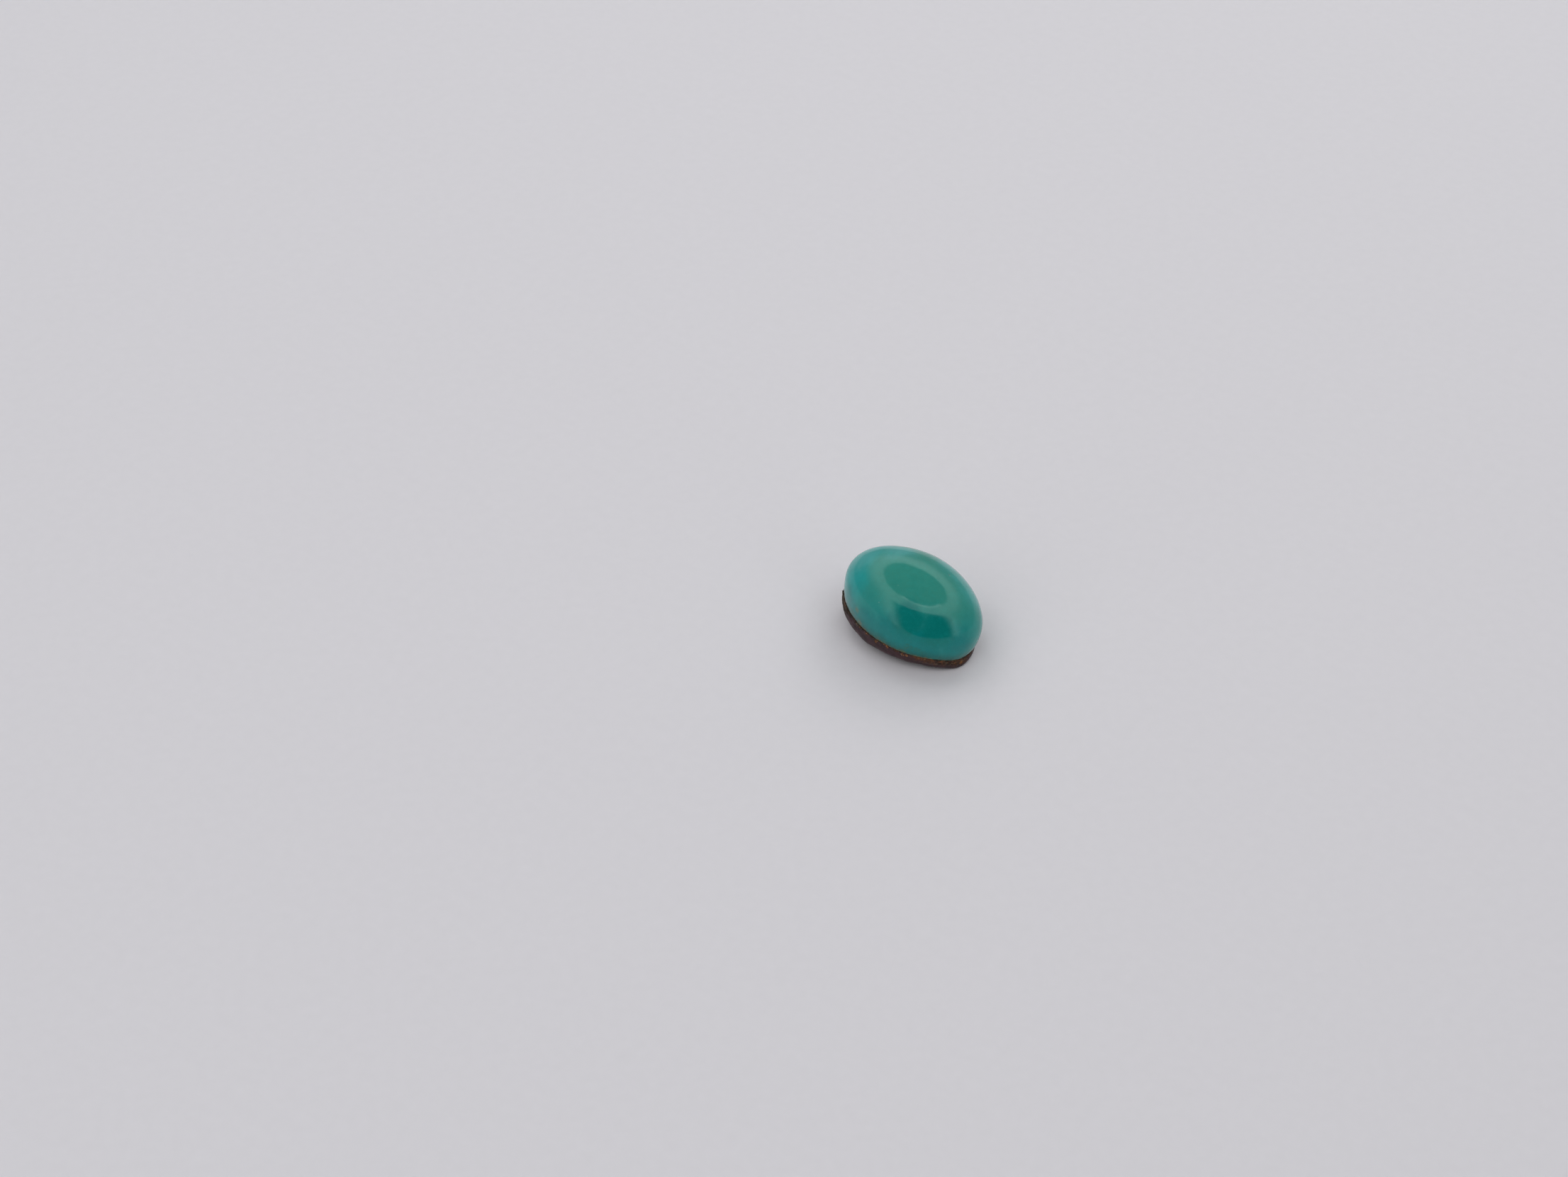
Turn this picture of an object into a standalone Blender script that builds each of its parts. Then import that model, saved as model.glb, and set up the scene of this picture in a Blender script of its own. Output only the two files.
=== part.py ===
"""A turquoise cabochon: a polished oval dome with its dark ironstone matrix left on the back.

Run it with  blender --background --python part.py  or from Blender's text editor.

Lengths are named in millimetres and become metres where a point is placed. Both pieces are drawn
in the stone's own axes: +X along the oval, +Z out through the crown, and z = 0 at the seam between
turquoise and matrix. An empty then leans the stone on its bellied back and stands it on the floor.
"""
import math

import bmesh
import bpy
from mathutils import Matrix, Vector, noise

MM = 0.001

# The oval at the girdle, which is the widest level of the turquoise
LENGTH = 14.80
WIDTH = 10.56
SHOULDER_DRAW = 0.022       # how much the four shoulders are drawn in from a true ellipse

# The turquoise above and below its girdle
GIRDLE_HEIGHT = 1.91        # girdle above the seam
CROWN_HEIGHT = 4.50         # crown above the girdle
BASE_SCALE = 0.95           # the seam's outline against the girdle's
BASE_PINCH = 0.022          # how much further it draws in at the low end
PINCH_AT = math.radians(15.0)

# How the stone lies
LEAN = math.radians(8.4)                # tilt of the seam from level
LEAN_TOWARD = math.radians(38.3)        # direction of the low side, from +X towards +Y
SEAM_HEIGHT = 1.87                      # middle of the seam above the floor

# The matrix: a plate under the whole seam, with a belly below it
SEAT_GAP = 0.05             # clear height between turquoise and matrix
SEAT_MARGIN = 0.05          # how far the seat reaches past the turquoise's base
LIP_OUT = 0.15              # middle of the lip, outside the seam
LIP_WAVE = 0.05             # how far the lip wanders in and out
LIP_CRUMBLE = 0.09          # how far its top is broken down below the seam, and stands above it
SPUR_AT = math.radians(205.0)           # where the plate is proudest and thickest, with one spur
SPUR_RISE = 0.24            # height of the spur above the seam
SPUR_SHARPNESS = 40.0       # larger makes the spur narrower
CRUST_DEPTH = 0.30          # the granular band below the lip
GRAIN = 0.10                # size of the crust's bumps
PLATE_THINNEST = 0.92
PLATE_THICKEST = 1.28
PLATE_WAVE = 0.10           # how far the lower border wanders up and down
SIDE_BULGE = 0.06           # how far the plate's side stands past the crust
BORDER_TUCK = 0.16          # how far the lower border draws in again
FLOOR_CLEARANCE = 0.03      # the least height of the border above the floor
LUMP = 0.34                 # height of the belly's lumps
BELLY_CURVE = 1.35          # how soon the belly turns down from the border

# The flat that the stone rests on
REST_LENGTH = 8.4
REST_WIDTH = 5.6
REST_OFFSET = 1.2           # its middle, towards the low side
REST_WAVE = 0.22            # how far its edge wanders, as a share of its size

# Facets
DOME_SEGMENTS = 96
CROWN_RINGS = 15
SKIRT_RINGS = 5
MATRIX_SEGMENTS = 144

TURQUOISE_COLOUR = (0.030, 0.235, 0.195, 1.0)
MATRIX_COLOUR = (0.050, 0.028, 0.028, 1.0)


def clear_scene():
    """Removes what a new file starts with."""
    for item in list(bpy.data.objects):
        bpy.data.objects.remove(item, do_unlink=True)


def finish(name, colour, roughness):
    """A plain finish of one colour."""
    material = bpy.data.materials.new(name)
    material.use_nodes = True
    shader = material.node_tree.nodes["Principled BSDF"]
    shader.inputs["Base Color"].default_value = colour
    shader.inputs["Roughness"].default_value = roughness
    shader.inputs["Metallic"].default_value = 0.0
    return material


# --- the oval and the lean -------------------------------------------------------------------

def girdle(turn):
    """Point of the girdle's outline at an angle round the stone."""
    reach = 1.0 - SHOULDER_DRAW * math.sin(2.0 * turn) ** 2
    return Vector((LENGTH / 2 * math.cos(turn), WIDTH / 2 * math.sin(turn), 0.0)) * reach


def seam_scale(turn):
    """The seam's outline against the girdle's, at an angle round the stone."""
    return BASE_SCALE - BASE_PINCH * max(0.0, math.cos(turn - PINCH_AT)) ** 4


def outward(turn):
    """Level direction square to the outline, pointing away from the stone."""
    step = 0.01
    along = girdle(turn + step) - girdle(turn - step)
    return Vector((along.y, -along.x, 0.0)).normalized()


def beside_seam(turn, out, height):
    """Point a distance outside the seam's outline, at a height above the seam."""
    point = girdle(turn) * seam_scale(turn) + outward(turn) * out
    return Vector((point.x, point.y, height))


def lean_matrix():
    """The stone's own axes, leaned and lifted to where they lie, in millimetres."""
    axis = Vector((-math.sin(LEAN_TOWARD), math.cos(LEAN_TOWARD), 0.0))
    return Matrix.Translation((0.0, 0.0, SEAM_HEIGHT)) @ Matrix.Rotation(LEAN, 4, axis)


# --- rings -----------------------------------------------------------------------------------

def first_ring(bm, segments, place):
    """A closed flat ring. Each vertex keeps its turn, which later rings are placed by."""
    turns = bm.verts.layers.float.new("turn")
    made = bmesh.ops.create_circle(bm, segments=segments, radius=1.0, cap_ends=True)
    for vert in made["verts"]:
        vert[turns] = math.atan2(vert.co.y, vert.co.x)
        vert.co = place(vert[turns]) * MM
    return bm.edges[:]


def next_ring(bm, rim, place):
    """Extrudes the open rim by one ring and returns the new rim."""
    turns = bm.verts.layers.float["turn"]
    made = bmesh.ops.extrude_edge_only(bm, edges=rim)["geom"]
    fresh = {item for item in made if isinstance(item, bmesh.types.BMVert)}
    for vert in fresh:
        vert.co = place(vert[turns]) * MM
    return [item for item in made
            if isinstance(item, bmesh.types.BMEdge) and all(vert in fresh for vert in item.verts)]


def close_flat(bm, rim):
    """Fills the last rim with one flat face."""
    bmesh.ops.contextual_create(bm, geom=rim)


def close_to_point(bm, rim, tip):
    """Fills the last rim with a fan that meets at a point."""
    cap = bmesh.ops.contextual_create(bm, geom=rim)["faces"]
    fan = bmesh.ops.poke(bm, faces=cap)
    fan["verts"][0].co = tip * MM


def finished_object(bm, name, material, frame):
    """Turns the rings into an object that hangs on the frame."""
    bmesh.ops.recalc_face_normals(bm, faces=bm.faces)
    mesh = bpy.data.meshes.new(name)
    bm.to_mesh(mesh)
    bm.free()
    mesh.materials.append(material)
    mesh.shade_smooth()
    mesh.set_sharp_from_angle(angle=math.radians(40.0))
    piece = bpy.data.objects.new(name, mesh)
    bpy.context.collection.objects.link(piece)
    piece.parent = frame
    return piece


# --- turquoise -------------------------------------------------------------------------------

def skirt_place(swing):
    """Places a ring of the skirt: it rounds in from the girdle (0) to the base (a quarter turn)."""
    height = GIRDLE_HEIGHT * (1.0 - math.sin(swing))

    def place(turn):
        scale = seam_scale(turn) + (1.0 - seam_scale(turn)) * math.cos(swing)
        return girdle(turn) * scale + Vector((0.0, 0.0, height))
    return place


def crown_height(reach):
    """Height of the crown above the seam, where reach runs from 0 at the top to 1 at the girdle."""
    return GIRDLE_HEIGHT + CROWN_HEIGHT * math.sqrt(1.0 - reach ** 2)


def crown_place(reach):
    """Places a ring of the crown."""
    height = crown_height(reach)
    return lambda turn: girdle(turn) * reach + Vector((0.0, 0.0, height))


def make_turquoise(frame):
    """The dome: a flat base, a skirt that swells to the girdle, and the crown."""
    quarter = math.pi / 2
    bm = bmesh.new()
    rim = first_ring(bm, DOME_SEGMENTS, skirt_place(quarter))
    for ring in range(1, SKIRT_RINGS + 1):
        rim = next_ring(bm, rim, skirt_place(quarter * (1.0 - ring / SKIRT_RINGS)))
    for ring in range(1, CROWN_RINGS + 1):
        rim = next_ring(bm, rim, crown_place(math.cos(quarter * ring / (CROWN_RINGS + 1))))
    close_to_point(bm, rim, Vector((0.0, 0.0, crown_height(0.0))))
    return finished_object(bm, "turquoise", finish("polished_turquoise", TURQUOISE_COLOUR, 0.16), frame)


# --- matrix ----------------------------------------------------------------------------------

def wander(turn, waves, phase):
    """A slow swing between -1 and 1 round the stone, the same after a whole turn."""
    return noise.noise(Vector((math.cos(turn), math.sin(turn), phase)) * waves)


def bumps(point, spacing, height):
    """Height of the rock's bumps at a point, for bumps of one spacing."""
    return noise.noise(point / spacing) * height


def lip_out(turn):
    """Where the lip's top runs, outside the seam: proud at the spur and across from it."""
    return LIP_OUT + LIP_WAVE * (wander(turn, 3.0, 0.7) + math.cos(2.0 * (turn - SPUR_AT)))


def lip_height(turn):
    """Top of the lip above the seam: crumbled along its length, with one spur."""
    spur = SPUR_RISE * math.exp(SPUR_SHARPNESS * (math.cos(turn - SPUR_AT) - 1.0))
    return LIP_CRUMBLE * (wander(turn, 9.0, 2.3) - 0.35) + spur


def plate_thickness(turn):
    """Depth of the lower border below the seam."""
    share = (0.5 + 0.5 * math.cos(turn - SPUR_AT)) ** 1.5
    return PLATE_THINNEST + (PLATE_THICKEST - PLATE_THINNEST) * share + PLATE_WAVE * wander(turn, 4.0, 5.1)


def crust_place(share):
    """Places a ring of the granular band, from the lip (0) to the plate's side (1)."""
    def place(turn):
        depth = CRUST_DEPTH * share
        point = beside_seam(turn, lip_out(turn) + 0.5 * SIDE_BULGE * share, lip_height(turn) - depth)
        point += outward(turn) * bumps(point, 0.42, GRAIN)
        return point
    return place


def side_point(turn, share):
    """Point of the plate's side: 0 just under the crust, 1 at the lower border."""
    swell = SIDE_BULGE * math.sin(math.pi * share) - BORDER_TUCK * share ** 3
    depth = CRUST_DEPTH + (plate_thickness(turn) - CRUST_DEPTH) * share
    point = beside_seam(turn, lip_out(turn) + swell, -depth)
    point += outward(turn) * bumps(point, 1.7, 0.5 * GRAIN)
    lying = lean_matrix() @ point
    lying.z = max(lying.z, FLOOR_CLEARANCE * (2.0 - share))
    return lean_matrix().inverted() @ lying


def rest_edge(turn):
    """Point of the flat's edge, on the floor."""
    middle = REST_OFFSET * Vector((math.cos(LEAN_TOWARD), math.sin(LEAN_TOWARD), 0.0))
    reach = 1.0 + REST_WAVE * wander(turn, 2.2, 3.4)
    edge = Vector((REST_LENGTH / 2 * math.cos(turn), REST_WIDTH / 2 * math.sin(turn), 0.0))
    return middle + edge * reach


def belly_place(share):
    """Places a ring of the underside, from the lower border (0) to the flat it rests on (1)."""
    def place(turn):
        border = lean_matrix() @ side_point(turn, 1.0)
        edge = rest_edge(turn)
        point = border.lerp(edge, share)
        point.z = border.z * (1.0 - share) ** BELLY_CURVE
        lump = bumps(point, 1.6, LUMP) + bumps(point, 0.7, 0.4 * LUMP)
        lump *= math.sin(math.pi * share) ** 0.5
        point.z = max(point.z + lump, FLOOR_CLEARANCE) if share < 1.0 else 0.0
        return lean_matrix().inverted() @ point
    return place


def make_matrix(frame):
    """The rock: a flat seat, a crumbling lip and crust, a smooth side and a lumpy belly."""
    bm = bmesh.new()
    rim = first_ring(bm, MATRIX_SEGMENTS, lambda turn: beside_seam(turn, SEAT_MARGIN, -SEAT_GAP))
    for share in (0.0, 0.35, 0.7, 1.0):
        rim = next_ring(bm, rim, crust_place(share))
    for share in (0.35, 0.7, 0.93, 1.0):
        rim = next_ring(bm, rim, lambda turn: side_point(turn, share))
    for share in (0.08, 0.25, 0.45, 0.65, 0.85, 1.0):
        rim = next_ring(bm, rim, belly_place(share))
    close_flat(bm, rim)
    return finished_object(bm, "matrix", finish("ironstone_matrix", MATRIX_COLOUR, 0.62), frame)


# --- the stone -------------------------------------------------------------------------------

def make_frame():
    """The empty that both pieces hang on, at the middle of the seam."""
    frame = bpy.data.objects.new("seam_centre", None)
    bpy.context.collection.objects.link(frame)
    lying = lean_matrix()
    frame.matrix_world = Matrix.Translation(lying.to_translation() * MM) @ lying.to_3x3().to_4x4()
    return frame


def centre_over_origin(frame, pieces):
    """Slides the stone until its box is centred over the origin."""
    bpy.context.view_layer.update()
    points = [piece.matrix_world @ vert.co for piece in pieces for vert in piece.data.vertices]
    for axis in (0, 1):
        reach = [point[axis] for point in points]
        frame.location[axis] -= (min(reach) + max(reach)) / 2
    bpy.context.view_layer.update()


def main():
    """Builds the stone."""
    clear_scene()
    frame = make_frame()
    centre_over_origin(frame, [make_turquoise(frame), make_matrix(frame)])


main()
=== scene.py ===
"""A polished turquoise cabochon that still lies on the dark ironstone it grew in.

Lengths are millimetres in the stone's own axes, unless a name says otherwise: +X runs along the oval,
+Z out through the crown, and z = 0 is the seam between turquoise and matrix. Each piece is modelled
there and is then leaned and stood on the floor, which turns its millimetres into metres.
"""
import logging
import math
import random
from collections.abc import Callable
from dataclasses import dataclass, field
from enum import Enum

import bmesh
import bpy
from mathutils import Euler, Matrix, Vector, noise
from mathutils.bvhtree import BVHTree


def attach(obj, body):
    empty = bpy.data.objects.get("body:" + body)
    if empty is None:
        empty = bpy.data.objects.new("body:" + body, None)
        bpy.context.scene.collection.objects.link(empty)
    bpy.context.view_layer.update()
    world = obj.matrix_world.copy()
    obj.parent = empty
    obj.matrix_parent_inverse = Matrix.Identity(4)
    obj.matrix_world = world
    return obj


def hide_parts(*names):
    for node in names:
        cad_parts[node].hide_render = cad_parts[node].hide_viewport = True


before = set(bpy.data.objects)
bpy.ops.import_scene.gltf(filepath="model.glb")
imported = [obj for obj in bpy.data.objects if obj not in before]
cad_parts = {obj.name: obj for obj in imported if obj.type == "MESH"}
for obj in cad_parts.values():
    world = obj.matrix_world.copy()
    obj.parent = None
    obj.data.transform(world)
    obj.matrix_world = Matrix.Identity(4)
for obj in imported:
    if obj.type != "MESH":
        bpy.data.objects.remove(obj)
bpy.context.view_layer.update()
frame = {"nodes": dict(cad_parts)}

log = logging.getLogger("cabochon")

MM = 0.001
BODY = "root"

Colour = tuple[float, float, float]
Socket = bpy.types.NodeSocket
Inputs = dict[str | int, object]
Place = Callable[[float], Vector]


# --- the stone's outline and how it lies -----------------------------------------------------

@dataclass(frozen=True)
class Swell:
    """A single rise round the oval: how high it is, where its middle lies, and how soon it falls off."""

    height: float
    degrees: float
    sharpness: float

    @property
    def turn(self) -> float:
        """Angle of its middle."""
        return math.radians(self.degrees)

    def at(self, turn: float, share: float = 1.0) -> float:
        """Its height at an angle round the stone, or a share of that height."""
        return self.height * share * math.exp(self.sharpness * (math.cos(turn - self.turn) - 1.0))


@dataclass(frozen=True)
class Oval:
    """The stone's outline, at the girdle and at the seam, and how far the seam sags below its level."""

    length: float = 14.80
    width: float = 10.56
    shoulder_draw: float = 0.022
    base_scale: float = 0.95
    base_pinch: float = 0.022
    pinch_at: float = math.radians(15.0)
    pinch_power: int = 4
    core_inset: float = 0.5
    sag: Swell = Swell(0.22, 347.0, 23.0)

    def girdle(self, turn: float) -> Vector:
        """Point of the widest outline at an angle round the stone."""
        reach = 1.0 - self.shoulder_draw * math.sin(2.0 * turn) ** 2
        return Vector((self.length / 2 * math.cos(turn), self.width / 2 * math.sin(turn), 0.0)) * reach

    def seam_scale(self, turn: float) -> float:
        """The seam's outline against the girdle's."""
        facing = max(0.0, math.cos(turn - self.pinch_at))
        return self.base_scale - self.base_pinch * facing ** self.pinch_power

    def outward(self, turn: float) -> Vector:
        """Level direction square to the outline, away from the stone."""
        step = 0.01
        along = self.girdle(turn + step) - self.girdle(turn - step)
        return Vector((along.y, -along.x, 0.0)).normalized()

    def beside_seam(self, turn: float, out: float, height: float) -> Vector:
        """Point a distance outside the seam, at a height above it."""
        point = self.girdle(turn) * self.seam_scale(turn) + self.outward(turn) * out
        return Vector((point.x, point.y, height - self.sag.at(turn)))

    def core(self, turn: float, height: float) -> Vector:
        """Point on level ground inside the seam, where a piece's first ring lies."""
        point = self.girdle(turn) * self.seam_scale(turn) - self.outward(turn) * self.core_inset
        return Vector((point.x, point.y, height))

    def turn_of(self, point: Vector) -> float:
        """Angle round the stone at which a point lies."""
        return math.atan2(point.y / self.width, point.x / self.length)


@dataclass(frozen=True)
class Lie:
    """How the stone lies on its bellied back: its lean, and the middle of its seam."""

    lean: float = math.radians(8.4)
    toward: float = math.radians(38.3)
    seam_height: float = 1.87
    slide: tuple[float, float] = (-0.15417, -0.12217)

    def rotation(self) -> Matrix:
        """The lean alone."""
        return Matrix.Rotation(self.lean, 4, Vector((-math.sin(self.toward), math.cos(self.toward), 0.0)))

    def leaned(self) -> Matrix:
        """The stone's own axes to millimetres above the floor, before the slide."""
        return Matrix.Translation((0.0, 0.0, self.seam_height)) @ self.rotation()

    def seam_centre(self) -> Vector:
        """Middle of the seam in the shared frame, in metres."""
        return Vector((*self.slide, self.seam_height)) * MM

    def stand(self, piece: bpy.types.Object) -> None:
        """Leans a piece, stands it in its place in metres, and puts all that into its mesh."""
        piece.matrix_world = Matrix.Translation(self.seam_centre()) @ self.rotation() @ Matrix.Scale(MM, 4)
        work_on(piece)
        bpy.ops.object.transform_apply(location=True, rotation=True, scale=True)


OVAL = Oval()
LIE = Lie()


def work_on(piece: bpy.types.Object) -> None:
    """Selects one piece alone and makes it active."""
    bpy.ops.object.select_all(action="DESELECT")
    piece.select_set(True)
    bpy.context.view_layer.objects.active = piece


def wander(turn: float, waves: float, phase: float) -> float:
    """A slow swing between -1 and 1 round the stone, the same after a whole turn."""
    return noise.noise(Vector((math.cos(turn), math.sin(turn), phase)) * waves)


def ease(start: float, end: float, value: float) -> float:
    """A soft step from 0 to 1 as the value goes from start to end, either way round."""
    share = min(1.0, max(0.0, (value - start) / (end - start)))
    return share * share * (3.0 - 2.0 * share)


def bumps(point: Vector, spacing: float, height: float) -> float:
    """Height of soft bumps of one spacing at a point."""
    return noise.noise(point / spacing) * height


def pebbles(point: Vector, spacing: float, height: float) -> float:
    """Height of packed round grains of one spacing, with creases between them."""
    crease_sharpness, roundness = 2.2, 0.5
    nearest, second = noise.voronoi(point / spacing)[0][:2]
    return height * min(1.0, crease_sharpness * (second - nearest)) * (1.0 - roundness * nearest)


# --- modelling -------------------------------------------------------------------------------

class RingShell:
    """A shell that is drawn out ring by ring, as by hand, from a filled circle."""

    def __init__(self, name: str, segments: int, place: Place) -> None:
        """Starts the shell with its first ring.

        Args:
            name: Name of the piece.
            segments: Vertices in each ring.
            place: Gives a ring's point at an angle round the stone.
        """
        bpy.ops.object.select_all(action="DESELECT")
        bpy.ops.mesh.primitive_circle_add(vertices=segments, radius=1.0, fill_type="NGON")
        self.piece = bpy.context.object
        self.piece.name = self.piece.data.name = name
        mesh = self.piece.data
        for layer in ("turn", "crust"):
            mesh.attributes.new(layer, "FLOAT", "POINT")
        for vert, turn in zip(mesh.vertices, mesh.attributes["turn"].data):
            turn.value = math.atan2(vert.co.y, vert.co.x)
        bpy.ops.object.mode_set(mode="EDIT")
        bpy.ops.mesh.select_all(action="SELECT")
        self._settle(place, None)

    def _settle(self, place: Place, crust: Callable[[float], float] | None) -> None:
        """Moves the selected ring to its place, and notes how crusty it is."""
        bm = bmesh.from_edit_mesh(self.piece.data)
        turns, crusts = (bm.verts.layers.float[layer] for layer in ("turn", "crust"))
        for vert in bm.verts:
            if vert.select:
                vert.co = place(vert[turns])
                vert[crusts] = crust(vert[turns]) if crust else 0.0
        bmesh.update_edit_mesh(self.piece.data)

    def draw_out(self, place: Place, crust: Callable[[float], float] | None = None) -> None:
        """Extrudes the open rim by one ring.

        Args:
            place: Gives the ring's point at an angle round the stone.
            crust: Gives how crusty the ring is there, from 0 to 1.
        """
        bpy.ops.mesh.extrude_edges_move()
        self._settle(place, crust)

    def close(self, tip: Vector | None = None) -> bpy.types.Object:
        """Fills the last rim, flat or with a fan, and leaves edit mode.

        Args:
            tip: Point at which a fan meets, or None for a flat face.

        Returns:
            The closed piece, with its faces outwards.
        """
        bpy.ops.mesh.edge_face_add()
        if tip is not None:
            bpy.ops.mesh.poke()
            bm = bmesh.from_edit_mesh(self.piece.data)
            hub = max(bm.verts, key=lambda vert: len(vert.link_edges))
            hub.co = tip
            bmesh.update_edit_mesh(self.piece.data)
        bpy.ops.mesh.select_all(action="SELECT")
        bpy.ops.mesh.normals_make_consistent(inside=False)
        bpy.ops.object.mode_set(mode="OBJECT")
        self.piece.data.attributes.remove(self.piece.data.attributes["turn"])
        return self.piece


def steady_surface(piece: bpy.types.Object) -> BVHTree:
    """A piece's surface to set things on, the same each run in whatever order its faces were made."""
    faces = []
    for face in piece.data.polygons:
        corners = list(face.vertices)
        first = corners.index(min(corners))
        faces.append(corners[first:] + corners[:first])
    return BVHTree.FromPolygons([vert.co for vert in piece.data.vertices], sorted(faces))


def dress(piece: bpy.types.Object, material: bpy.types.Material, sharp_degrees: float) -> None:
    """Gives a finished piece its material, its shading and the body it rides on."""
    work_on(piece)
    piece.data.materials.clear()
    piece.data.materials.append(material)
    bpy.ops.object.shade_smooth_by_angle(angle=math.radians(sharp_degrees))
    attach(piece, BODY)


# --- materials -------------------------------------------------------------------------------

def rgba(colour: Colour) -> tuple[float, float, float, float]:
    """A colour as a socket takes it."""
    return (*colour, 1.0)


class Graph:
    """Writes one node tree in few words."""

    def __init__(self, tree: bpy.types.NodeTree) -> None:
        """Keeps the tree that the nodes go into."""
        self.tree = tree

    def add(self, kind: str, inputs: Inputs | None = None, **settings: object) -> bpy.types.Node:
        """Adds a node.

        Args:
            kind: The node's type.
            inputs: What each input holds: a socket to link, or a value.
            settings: The node's own properties.

        Returns:
            The node.
        """
        node = self.tree.nodes.new(kind)
        for name, value in settings.items():
            setattr(node, name, value)
        self.fill(node, inputs or {})
        return node

    def fill(self, node: bpy.types.Node, inputs: Inputs) -> None:
        """Feeds a node's inputs, each by its name or its number."""
        for key, value in inputs.items():
            self.feed(node.inputs[key], value)

    def feed(self, socket: Socket, value: object) -> None:
        """Links a socket to an input, or sets the input's value."""
        if isinstance(value, Socket):
            self.tree.links.new(value, socket)
        else:
            socket.default_value = value

    def step(self, operation: str, *terms: object) -> Socket:
        """One step of arithmetic on values."""
        return self.add("ShaderNodeMath", dict(enumerate(terms)), operation=operation).outputs[0]

    def times(self, first: object, second: object) -> Socket:
        """Two values multiplied."""
        return self.step("MULTIPLY", first, second)

    def most(self, first: object, second: object) -> Socket:
        """The larger of two values."""
        return self.step("MAXIMUM", first, second)

    def lift(self, value: object, factor: object, base: object) -> Socket:
        """A value times a factor, on top of a base."""
        return self.step("MULTIPLY_ADD", value, factor, base)

    def vector(self, operation: str, *terms: object) -> bpy.types.Node:
        """One step of arithmetic on vectors."""
        return self.add("ShaderNodeVectorMath", dict(enumerate(terms)), operation=operation)

    def ramp(self, value: object, low: object, high: object) -> Socket:
        """A soft step from 0 to 1 as the value goes from low to high, either way round."""
        return self.add("ShaderNodeMapRange", {0: value, 1: low, 2: high},
                        interpolation_type="SMOOTHSTEP").outputs[0]

    def band(self, value: object, low: float, high: float, edge: float) -> Socket:
        """A mask of the values between two limits, with soft edges."""
        above = self.ramp(value, low - edge, low + edge)
        return self.times(above, self.ramp(value, high + edge, high - edge))

    def blend(self, share: object, first: object, second: object, strength: float = 1.0) -> Socket:
        """The first colour, going over into the second, at most as far as the strength says."""
        pair = [rgba(colour) if isinstance(colour, tuple) else colour for colour in (first, second)]
        reach = share if strength == 1.0 else self.times(share, strength)
        return self.add("ShaderNodeMix", {0: reach, 6: pair[0], 7: pair[1]}, data_type="RGBA").outputs[2]

    def mix(self, share: object, first: object, second: object) -> Socket:
        """The first number, going over into the second."""
        return self.add("ShaderNodeMix", {0: share, 2: first, 3: second}).outputs[0]

    def cloud(self, vector: Socket, scale: object, detail: object = 2.0, roughness: float = 0.5) -> Socket:
        """Soft noise between 0 and 1, so many patches to a unit of the vector."""
        return self.add("ShaderNodeTexNoise", {"Vector": vector, "Scale": scale, "Detail": detail,
                                               "Roughness": roughness}).outputs["Fac"]

    def bump(self, height: Socket, microns: float, under: Socket | None = None) -> Socket:
        """A normal bent by a height between 0 and 1 that stands for so many microns."""
        inputs = {"Height": height, "Distance": microns * MM * MM, "Strength": 1.0}
        if under is not None:
            inputs["Normal"] = under
        return self.add("ShaderNodeBump", inputs).outputs["Normal"]


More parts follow.
